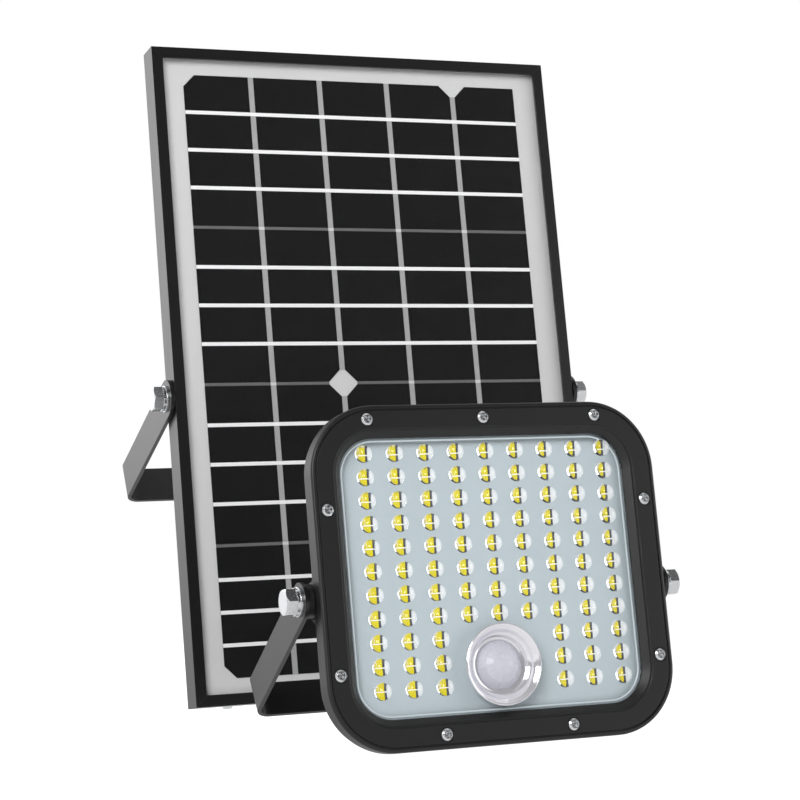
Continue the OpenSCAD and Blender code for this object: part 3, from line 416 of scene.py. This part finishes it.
def clear_layer(name, roughness, ior, tint):
    """A flat clear sheet: see-through, with Fresnel gloss."""
    material, tree, output = new_material(name)
    streaks = noise(tree, place(tree), 60, 2)
    gloss = add_node(tree, "ShaderNodeBsdfGlossy", None, {
        "Color": (1, 1, 1, 1), "Roughness": between(tree, streaks, roughness, roughness * 1.5)})
    clear = add_node(tree, "ShaderNodeBsdfTransparent", None, {"Color": linear(tint)})
    fresnel = add_node(tree, "ShaderNodeFresnel", None, {"IOR": ior})
    rays = add_node(tree, "ShaderNodeLightPath")
    front = add_node(tree, "ShaderNodeMath", {"operation": "SUBTRACT", "use_clamp": True}, {
        0: fresnel.outputs[0], 1: rays.outputs["Is Shadow Ray"]})
    mix = add_node(tree, "ShaderNodeMixShader", None, {
        0: front.outputs[0], 1: clear.outputs[0], 2: gloss.outputs[0]})
    tree.links.new(mix.outputs[0], output.inputs["Surface"])
    return material


panel_glass_finish = clear_layer("tempered_glass", 0.03, 1.22, "#FFFFFF")
film_finish = clear_layer("laminating_film", 0.2, 1.02, "#FFFFFF")

# %% [markdown]
# A silicon cell is nearly black under its anti-reflection coat. Hair-thin silver
# fingers cross it every 1.6 mm, at right angles to the ribbons. They are drawn a little
# wider than real so that they still show.

# %% Silicon cells


def silicon(name):
    material, tree, output = new_material(name)
    across = add_node(tree, "ShaderNodeSeparateXYZ", None, {0: place(tree)}).outputs[0]
    finger = add_node(tree, "ShaderNodeMath", {"operation": "PINGPONG"}, {0: across, 1: 0.8 * MM})
    near = add_node(tree, "ShaderNodeMapRange", None, {
        "Value": finger.outputs[0], "From Min": 0.0, "From Max": 0.12 * MM, "To Min": 1.0, "To Max": 0.0})
    cloud = noise(tree, place(tree), 30)
    base = add_node(tree, "ShaderNodeMix", {"data_type": "RGBA"}, {0: near.outputs[0]})
    tree.links.new(two_tone(tree, cloud, "#131314", "#171718"), base.inputs[6])
    base.inputs[7].default_value = linear("#222223")
    principled(tree, output, {
        "Base Color": base.outputs[2], "Roughness": between(tree, cloud, 0.45, 0.55),
        "Specular IOR Level": 0.2,
    })
    return material


cell_finish = silicon("silicon_cell")

# %% [markdown]
# The tinned ribbons are bright white under the glass. The backsheet is a white
# polyester film with a fine embossed grain.

# %% Ribbons and backsheet


def tinned(name):
    material, tree, output = new_material(name)
    streak = noise(tree, place(tree, (0.05, 1, 1)), 0.8, 2)
    principled(tree, output, {
        "Base Color": two_tone(tree, streak, "#FAFAFA", "#FFFFFF"), "Metallic": 0.0,
        "Roughness": between(tree, streak, 0.35, 0.5), "Normal": bump(tree, streak, 0.01),
    })
    return material


def backsheet(name):
    material, tree, output = new_material(name)
    grain = noise(tree, place(tree), 0.5, 2)
    principled(tree, output, {
        "Base Color": two_tone(tree, noise(tree, place(tree), 50), "#D5D5D5", "#DADADA"),
        "Roughness": between(tree, grain, 0.5, 0.65), "Normal": bump(tree, grain, 0.01),
    })
    return material


# Painted shade: these grey strips stand in for the shade that falls into the narrow gaps between the cells.
def painted_gap_shade(name, first, second):
    material, tree, output = new_material(name)
    shade_mottle = noise(tree, place(tree), 4, 2)
    principled(tree, output, {
        "Base Color": two_tone(tree, shade_mottle, first, second), "Roughness": 0.6,
        "Normal": bump(tree, shade_mottle, 0.02),
    })
    return material


ribbon_finish = tinned("tinned_ribbon")
backsheet_finish = backsheet("white_polyester_backsheet")
# Painted shade: a darker grey for the row gaps and a paler grey for the column gaps.
dark_gap_shade_finish = painted_gap_shade("grey_painted_gap_shade", "#666666", "#707070")
pale_gap_shade_finish = painted_gap_shade("pale_painted_gap_shade", "#A6A6A6", "#B0B0B0")

# %% [markdown]
# ## Finishes of the lamp
#
# Bezel and housing are moulded ABS, spark-eroded to a fine satin. The texture is a
# tenth of a millimetre deep at most, so it is drawn at 0.4 mm to show at all.

# %% Moulded plastics


def moulded(name, dark_tone, light_tone, rough, grain_mm=0.4, depth_mm=0.01, edge_mm=0.4, shine=0.5):
    material, tree, output = new_material(name)
    grain = noise(tree, place(tree), grain_mm, 3)
    cloud = noise(tree, place(tree), 30)
    principled(tree, output, {
        "Base Color": two_tone(tree, cloud, dark_tone, light_tone),
        "Roughness": between(tree, grain, rough - 0.06, rough + 0.06),
        "Specular IOR Level": shine,
        "Normal": bump(tree, grain, depth_mm, soft_edge(tree, edge_mm)),
    })
    return material


abs_finish = moulded("satin_black_abs", "#131313", "#181818", 0.42)
gland_finish = moulded("black_nylon", "#161616", "#1E1E1E", 0.38)
rubber_finish = moulded("grey_silicone_rubber", "#3C3D3F", "#4A4B4D", 0.6, 0.5, 0.015)
nylon_finish = moulded("natural_nylon", "#D9D6C8", "#E6E3D8", 0.45)
epoxy_finish = moulded("epoxy_case", "#1B1B1D", "#262629", 0.5)
wire_finish = moulded("pvc_wire_sleeve", "#8E1414", "#A81C1C", 0.4)
# Painted light: pale strips beside each LED stand in for the light its dome focuses onto the board.
painted_light_pool_finish = moulded("painted_light_pool", "#D0D5D7", "#DCE0E2", 0.5, 0.2, 0.004, 0.05)
bead_finish = moulded("frosted_acrylic_bead", "#B2BDC2", "#BEC9CE", 0.2, 0.4, 0.004, 0.1, 0.8)
package_finish = moulded("white_led_package", "#F2F2EE", "#FCFCFA", 0.5, 0.2, 0.004, 0.05)

# %% [markdown]
# The light board is aluminium with a matt white solder mask, which looks faintly blue
# through the clear cover. The control boards are the usual green glass fibre.

# %% Boards


def board_coat(name, first, second, rough):
    material, tree, output = new_material(name)
    weave = noise(tree, place(tree), 0.8, 2)
    principled(tree, output, {
        "Base Color": two_tone(tree, noise(tree, place(tree), 45), first, second),
        "Roughness": between(tree, weave, rough - 0.05, rough + 0.08),
        "Normal": bump(tree, weave, 0.006),
    })
    return material


white_board_finish = board_coat("white_solder_mask", "#ACB8BD", "#B3BFC4", 0.5)
green_board_finish = board_coat("green_glass_fibre", "#0E4A2A", "#145A34", 0.35)
pad_finish = board_coat("dark_solder_pad", "#3A3F48", "#4C525C", 0.4)

# %% [markdown]
# The phosphor is silicone loaded with yellow powder: saturated, slightly glossy, with a
# fine grain.

# %% Phosphor


def phosphor(name):
    material, tree, output = new_material(name)
    powder = noise(tree, place(tree), 0.25, 3)
    principled(tree, output, {
        "Base Color": two_tone(tree, powder, "#CFC000", "#DDCF06"), "Specular IOR Level": 0.2,
        "Roughness": between(tree, powder, 0.4, 0.5), "Normal": bump(tree, powder, 0.01),
    })
    return material


phosphor_finish = phosphor("yellow_phosphor")

# %% [markdown]
# Clear parts with real curves do bend the light: the domes of the cover. Their shadows are let through, so what
# lies behind them stays lit.

# %% Clear curved plastic


def clear_solid(name, tint, ior, roughness):
    material, tree, output = new_material(name)
    flow = noise(tree, place(tree), 6, 1)
    shader = add_node(tree, "ShaderNodeBsdfPrincipled", None, {
        "Base Color": linear(tint), "Roughness": roughness, "IOR": ior, "Transmission Weight": 1.0,
        "Normal": bump(tree, flow, 0.004)})
    through = add_node(tree, "ShaderNodeBsdfTransparent", None, {"Color": linear(tint)})
    rays = add_node(tree, "ShaderNodeLightPath")
    light_rays = add_node(tree, "ShaderNodeMath", {"operation": "MAXIMUM"}, {
        0: rays.outputs["Is Shadow Ray"], 1: rays.outputs["Is Diffuse Ray"]})
    mix = add_node(tree, "ShaderNodeMixShader", None, {
        0: light_rays.outputs[0], 1: shader.outputs[0], 2: through.outputs[0]})
    tree.links.new(mix.outputs[0], output.inputs["Surface"])
    return material


cover_finish = clear_solid("clear_acrylic_cover", "#FFFFFF", 1.49, 0.0)

# %% [markdown]
# The collar round the sensor is clear too, but its polished funnel is metallised from
# behind, so it works as a bright mirror with a pearly cast. Shallow rings about 3 mm
# apart are moulded into it, and they break its reflections into arcs.

# %% Metallised collar
collar_low, collar_high = leaned_box("sensor_collar")


def metallised(name, middle, ring_mm):
    material, tree, output = new_material(name)
    flow = noise(tree, place(tree), 8, 2)
    from_middle = add_node(tree, "ShaderNodeVectorMath", {"operation": "SUBTRACT"}, {
        0: place(tree), 1: middle}).outputs[0]
    flat = add_node(tree, "ShaderNodeVectorMath", {"operation": "MULTIPLY"}, {
        0: from_middle, 1: (1, 0, 1)}).outputs[0]
    radius = add_node(tree, "ShaderNodeVectorMath", {"operation": "LENGTH"}, {0: flat}).outputs["Value"]
    rings = maths(tree, "SINE", maths(tree, "MULTIPLY", radius, 2 * math.pi / (ring_mm * MM)), 0.0)
    principled(tree, output, {
        "Base Color": two_tone(tree, flow, "#E2E1E6", "#F2F0F5"), "Metallic": 0.6,
        "Roughness": between(tree, flow, 0.07, 0.13), "Coat Weight": 0.6, "Coat Roughness": 0.03,
        "Normal": bump(tree, rings, 0.12, bump(tree, flow, 0.05, soft_edge(tree, 0.2))),
    })
    return material


collar_finish = metallised("metallised_clear_collar", (collar_low + collar_high) / 2, 3.2)

# %% [markdown]
# The sensor's lens is thin milky polyethylene. Light soaks into it, so it glows softly and its facets are only
# just visible. A painted highlight makes its colour lighter just left of and above its middle.

# %% Milky polyethylene
element_low, element_high = leaned_box("sensor_element")


def milky(name, painted_highlight_spot, highlight_mm):
    material, tree, output = new_material(name)
    away = add_node(tree, "ShaderNodeVectorMath", {"operation": "DISTANCE"}, {
        0: place(tree, (1, 0, 1)), 1: (painted_highlight_spot.x, 0, painted_highlight_spot.z)}).outputs["Value"]
    # Painted highlight: the colour is lighter near a spot just left of and above the sensor's middle.
    glow = ease(tree, away, highlight_mm * 0.55 * MM, highlight_mm * MM)
    cloud = noise(tree, place(tree), 5, 2)
    principled(tree, output, {
        "Base Color": two_tone(tree, glow, "#DCE2EA", "#BDBDC7"),
        "Roughness": between(tree, cloud, 0.36, 0.44), "Specular IOR Level": 0.9,
        "Subsurface Weight": 0.4, "Subsurface Scale": 2 * MM,
        "Subsurface Radius": (1.0, 0.9, 0.9),
        "Normal": bump(tree, noise(tree, place(tree), 0.5, 2), 0.006),
    })
    return material


# The painted highlight is centred just left of and above the sensor can.
painted_highlight_middle = (element_low + element_high) / 2 + Vector((-1.5, 0, 1.5)) * MM
milky_finish = milky("milky_polyethylene", painted_highlight_middle, 7.5)

# %% [markdown]
# Two metals and a sleeve are left, all inside the housing: turned brass, the nickel can of the sensor, and the
# blue shrink sleeve of the cells.

# %% Inner finishes


def turned_metal(name, first, second, rough):
    material, tree, output = new_material(name)
    rings = noise(tree, place(tree, (1, 0.05, 0.05)), 0.3, 2)
    principled(tree, output, {
        "Base Color": two_tone(tree, rings, first, second), "Metallic": 1.0,
        "Roughness": between(tree, rings, rough - 0.05, rough + 0.08),
        "Normal": bump(tree, rings, 0.008, soft_edge(tree, 0.15)),
    })
    return material


brass_finish = turned_metal("turned_brass", "#B98F45", "#D2AC62", 0.28)
nickel_finish = turned_metal("nickel_can", "#B9B5AC", "#CFCBC2", 0.25)
sleeve_finish = moulded("blue_shrink_sleeve", "#1D4E8C", "#245C9E", 0.32)

# %% [markdown]
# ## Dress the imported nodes
#
# One list says which finish each node takes. A node's own mesh and place stay as they
# are.

# %% Dress the nodes
dress = {
    side_rail_finish: ["panel_side_rails"],
    end_rail_finish: ["panel_end_rails"],
    bracket_finish: ["panel_bracket", "lamp_bracket"],
    zinc_finish: [
        "frame_corner_keys", "frame_corner_screws", "junction_lid_screws", "panel_pivot_blocks",
        "panel_pivot_bolts", "panel_spring_washers", "panel_flat_washers", "bezel_screws",
        "switch_nut", "lamp_pivot_bolts", "lamp_spring_washers", "lamp_flat_washers",
    ],
    panel_glass_finish: ["panel_glass"],
    cell_finish: ["solar_cells"],
    ribbon_finish: ["cell_ribbons", "battery_tabs"],
    backsheet_finish: ["panel_backsheet"],
    rubber_finish: ["laminate_edge_seal", "junction_lid_seal", "cover_gasket", "switch_button"],
    abs_finish: ["junction_box", "junction_box_lid", "lamp_bezel", "rear_housing", "switch_body"],
    gland_finish: ["junction_gland", "junction_gland_nut", "charging_gland", "charging_gland_nut"],
    green_board_finish: ["diode_board", "sensor_board", "control_board"],
    epoxy_finish: ["bypass_diodes", "control_components"],
    nylon_finish: [
        "panel_friction_washers", "lamp_friction_washers", "sensor_standoffs", "battery_cradle",
        "battery_clamp", "control_standoffs",
    ],
    cover_finish: ["lens_cover"],
    white_board_finish: ["led_board"],
    package_finish: ["led_packages"],
    phosphor_finish: ["led_phosphors"],
    collar_finish: ["sensor_collar"],
    nickel_finish: ["sensor_element"],
    brass_finish: ["lamp_pivot_inserts"],
    sleeve_finish: ["battery_cells"],
    wire_finish: ["battery_leads"],
}
for finish, names in dress.items():
    for name in names:
        nodes[name].data.materials.clear()
        nodes[name].data.materials.append(finish)
print("dressed", sum(len(names) for names in dress.values()), "nodes")

# %% [markdown]
# ## Helpers for pieces
#
# New pieces are drawn in millimetres in the lamp's or the panel's own frame, then put
# in place by its matrix.

# %% Piece helpers


def new_piece(name, mesh_work, matrix, finish, body):
    """Makes an object from a bmesh in local millimetres and lets it ride on a body."""
    mesh = bpy.data.meshes.new(name)
    bmesh.ops.recalc_face_normals(mesh_work, faces=mesh_work.faces)
    mesh_work.to_mesh(mesh)
    mesh_work.free()
    mesh.transform(matrix @ Matrix.Diagonal((MM, MM, MM, 1)))
    piece = bpy.data.objects.new(name, mesh)
    bpy.context.collection.objects.link(piece)
    mesh.materials.append(finish)
    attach(piece, body)
    return piece


def lathe(work, profile, steps, centre=(0, 0, 0)):
    """Turns a profile of (radius, y) points round the y axis. A point at radius 0 closes that end."""
    cx, cy, cz = centre
    rings = []
    for radius, y in profile:
        if radius == 0:
            rings.append([work.verts.new((cx, cy + y, cz))])
            continue
        rings.append([
            work.verts.new((
                cx + radius * math.cos(2 * math.pi * k / steps), cy + y,
                cz + radius * math.sin(2 * math.pi * k / steps)))
            for k in range(steps)
        ])
    for ring, following in zip(rings, rings[1:]):
        for k in range(steps):
            corners = [ring[k % len(ring)], ring[(k + 1) % len(ring)]]
            corners += [following[(k + 1) % len(following)], following[k % len(following)]]
            face = list(dict.fromkeys(corners))
            if len(face) > 2:
                work.faces.new(face).smooth = True


def block(work, low, high):
    """A plain box between two corners."""
    corners = [
        work.verts.new((x, y, z)) for x in (low[0], high[0]) for y in (low[1], high[1]) for z in (low[2], high[2])]
    for face in ((0, 1, 3, 2), (4, 6, 7, 5), (0, 4, 5, 1), (2, 3, 7, 6), (0, 2, 6, 4), (1, 5, 7, 3)):
        work.faces.new([corners[i] for i in face])


def rounded_loop(width, height, radius, steps=10):
    """Points round a rounded rectangle in x and z."""
    points = []
    for quarter, (sx, sz) in enumerate(((1, 1), (-1, 1), (-1, -1), (1, -1))):
        for k in range(steps + 1):
            angle = math.pi / 2 * (quarter + k / steps)
            points.append((
                sx * (width / 2 - radius) + radius * math.cos(angle),
                sz * (height / 2 - radius) + radius * math.sin(angle)))
    return points


# %% [markdown]
# ## The laminate's film
#
# The clear film between glass and cells touches both. A film a hair thinner than its
# CAD node keeps a ray from meeting two faces at the same depth.

# %% Laminate film
film_low, film_high = leaned_box("laminate_encapsulant")
inverse = PANEL.inverted()
film_a = (inverse @ (LEAN @ film_low)) / MM
film_b = (inverse @ (LEAN @ film_high)) / MM
work = bmesh.new()
block(work, (film_a.x, film_a.y + 0.03, film_a.z), (film_b.x, film_b.y - 0.03, film_b.z))
film = new_piece("laminate_film", work, PANEL, film_finish, "panel")
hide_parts("laminate_encapsulant")
print("film", round(film_b.y - film_a.y, 2), "mm")

# %% [markdown]
# Grey strips in the narrow gaps between the cells are painted shade, so the gaps look darker than the white border
# and the diamonds at the cut corners. Some nodes hold many separate solids, and a helper finds each one's points.

# %% Separate parts of a node


def separate_parts(name, matrix):
    """The points of each separate solid of a node, in local millimetres."""
    solids = bmesh.new()
    solids.from_mesh(nodes[name].data)
    bmesh.ops.remove_doubles(solids, verts=solids.verts, dist=1e-6)
    back, left, parts = matrix.inverted(), set(solids.verts), []
    while left:
        reached, waiting = [], [left.pop()]
        while waiting:
            vert = waiting.pop()
            reached.append(tuple(back @ vert.co / MM))
            for edge in vert.link_edges:
                other = edge.other_vert(vert)
                if other in left:
                    left.remove(other)
                    waiting.append(other)
        parts.append(reached)
    solids.free()
    return parts


# %% Painted shade between the cells
cell_parts = separate_parts("solar_cells", PANEL)
boxes = [[f(v[i] for v in part) for f in (min, max) for i in range(3)] for part in cell_parts]
rows = sorted({round(b[2], 1) for b in boxes})
columns = sorted({round(b[3], 1) for b in boxes})
painted_row_shade, painted_column_shade = bmesh.new(), bmesh.new()
for part, (x0, y0, z0, x1, y1, z1) in zip(cell_parts, boxes):
    below = [b for b in boxes if abs(b[0] - x0) < 1 and b[5] < z0 + 0.01]
    if below:
        foot = [v[0] for v in part if v[2] < z0 + 0.05]
        gap_end = max(b[5] for b in below)
        block(painted_row_shade, (min(foot) + 0.1, y0 + 0.1, gap_end + 0.05), (max(foot) - 0.1, y1 - 0.05, z0 - 0.05))
    beside = [b for b in boxes if abs(b[2] - z0) < 1 and b[0] > x1 - 0.01]
    if beside:
        flank = [v[2] for v in part if v[0] > x1 - 0.05]
        gap_end = min(b[0] for b in beside)
        block(painted_column_shade, (x1 + 0.1, y0 + 0.1, min(flank)), (gap_end - 0.1, y1 - 0.05, max(flank)))
# Painted shade strips: darker in the row gaps, paler in the column gaps.
painted_row_shades = new_piece("painted_row_shades", painted_row_shade, PANEL, dark_gap_shade_finish, "panel")
painted_column_shades = new_piece("painted_column_shades", painted_column_shade, PANEL, pale_gap_shade_finish, "panel")
print(len(cell_parts), "cells in", len(rows), "rows and", len(columns), "columns")

# %% [markdown]
# ## Marks on the light board
#
# Each LED sits between two dark solder pads, and a white bar crosses its phosphor. Pale strips either side of each
# LED are painted light: they stand in for the light that the dome in front focuses onto the board. Seen through
# the dome in front of it, each mark is drawn about twice as large, so the marks give the domes most of their look.

# %% Where the lights are
led_places = [(sum(v[0] for v in part) / len(part), sum(v[2] for v in part) / len(part))
              for part in separate_parts("led_packages", LAMP)]
print(len(led_places), "lights")

# %% Pads, painted pools of light and bars
# Painted light: a pale strip either side of each LED, beside its dark solder pads.
pads, light_pool_marks, bars = bmesh.new(), bmesh.new(), bmesh.new()
LED_TOP = -0.9
for x, z in led_places:
    for side in (-1, 1):
        edges = sorted((x + side * 1.42, x + side * 1.74))
        block(pads, (edges[0], LED_TOP, z - 1.75), (edges[1], -0.02, z + 1.75))
        edges = sorted((x + side * 1.78, x + side * 2.7))
        block(light_pool_marks, (edges[0], LED_TOP + 0.05, z - 2.2), (edges[1], -0.02, z + 2.2))
    block(bars, (x - 1.38, LED_TOP - 0.05, z - 0.12), (x + 1.74, LED_TOP - 0.01, z + 0.12))
    block(bars, (x - 0.06, LED_TOP - 0.03, z + 0.12), (x, LED_TOP - 0.01, z + 1.6))
solder_pads = new_piece("solder_pads", pads, LAMP, pad_finish, "lamp")
painted_light_pools = new_piece("painted_light_pools", light_pool_marks, LAMP, painted_light_pool_finish, "lamp")
package_bars = new_piece("package_bars", bars, LAMP, package_finish, "lamp")

# %% [markdown]
# A low bead runs round the clear cover, just inside the bezel's window. It stiffens the
# sheet where it is clamped, and draws a thin bright line round the board.

# %% Cover bead
cover_low, cover_high = leaned_box("lens_cover")
cover_size = (cover_high - cover_low) / MM
WINDOW_EDGE = 4.2
BEAD_WIDTH = 1.1
BEAD_HEIGHT = 0.4
COVER_RADIUS = 21.8
COVER_FRONT = -2.9
bead_loops = [
    (WINDOW_EDGE + 0.7 + BEAD_WIDTH * (1 - math.cos(math.pi * k / 6)) / 2,
     COVER_FRONT - BEAD_HEIGHT * math.sin(math.pi * k / 6))
    for k in range(7)
]
work = bmesh.new()
rings = []
for inset, y in bead_loops:
    loop = rounded_loop(cover_size.x - 2 * inset, cover_size.z - 2 * inset, COVER_RADIUS - inset)
    rings.append([work.verts.new((x, y, z)) for x, z in loop])
for ring, following in zip(rings, rings[1:] + rings[:1]):
    for k in range(len(ring)):
        j = (k + 1) % len(ring)
        work.faces.new((ring[k], ring[j], following[j], following[k])).smooth = following is not rings[0]
cover_bead = new_piece("cover_bead", work, LAMP, bead_finish, "lamp")
print("bead", BEAD_WIDTH, "by", BEAD_HEIGHT, "mm")

# %% [markdown]
# ## The sensor's lens
#
# A shallow dome pressed from polyethylene, divided into small flat lenses: rings of
# facets with a thin groove between them.

# %% Faceted sensor lens
dome_low, dome_high = leaned_box("sensor_dome")
dome_centre = (LAMP.inverted() @ (LEAN @ ((dome_low + dome_high) / 2))) / MM
dome_front = (LAMP.inverted() @ (LEAN @ dome_low)).y / MM
dome_back = (LAMP.inverted() @ (LEAN @ dome_high)).y / MM
LENS_RADIUS = 11.65
LENS_HEIGHT = 6.1
cap_sphere = (LENS_RADIUS ** 2 + LENS_HEIGHT ** 2) / (2 * LENS_HEIGHT)
seat = dome_front + LENS_HEIGHT


def cap_height(radius):
    """How far the dome stands in front of its seat at this radius."""
    return math.sqrt(cap_sphere ** 2 - radius ** 2) - (cap_sphere - LENS_HEIGHT)


work = bmesh.new()
ring_edges = [0.0, 2.2, 5.4, 8.6, LENS_RADIUS]
for ring_index, (inner, outer) in enumerate(zip(ring_edges, ring_edges[1:])):
    count = (1, 6, 12, 16)[ring_index]
    for k in range(count):
        start = 2 * math.pi * (k + 0.5 * (ring_index % 2)) / count
        span = 2 * math.pi / count
        outline = [(outer, start + span * t / 4) for t in range(5)]
        outline += [(inner, start + span * t / 4) for t in range(4, -1, -1)]
        if inner == 0:
            outline = [(outer, 2 * math.pi * t / 24) for t in range(24)]
        middle = Vector((0, 0))
        flat = [Vector((r * math.cos(a), r * math.sin(a))) for r, a in outline]
        for point in flat:
            middle += point / len(flat)
        edge = [work.verts.new((p.x, seat - cap_height(min(p.length, LENS_RADIUS)) , p.y)) for p in flat]
        crown = []
        for p in flat:
            q = middle + (p - middle) * 0.86
            crown.append(work.verts.new((q.x, seat - cap_height(min(q.length, LENS_RADIUS)) - 0.12, q.y)))
        for i in range(len(flat)):
            j = (i + 1) % len(flat)
            work.faces.new((edge[i], edge[j], crown[j], crown[i])).smooth = False
        work.faces.new(crown).smooth = False
bmesh.ops.remove_doubles(work, verts=work.verts, dist=0.01)
lathe(work, [(LENS_RADIUS, seat), (LENS_RADIUS, seat + 0.8), (13.8, seat + 0.8), (13.8, seat + 0.05),
             (LENS_RADIUS - 0.8, seat + 0.05)], 64)
bmesh.ops.translate(work, verts=work.verts, vec=(dome_centre.x, 0, dome_centre.z))
sensor_lens = new_piece("sensor_lens", work, LAMP, milky_finish, "lamp")
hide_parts("sensor_dome")
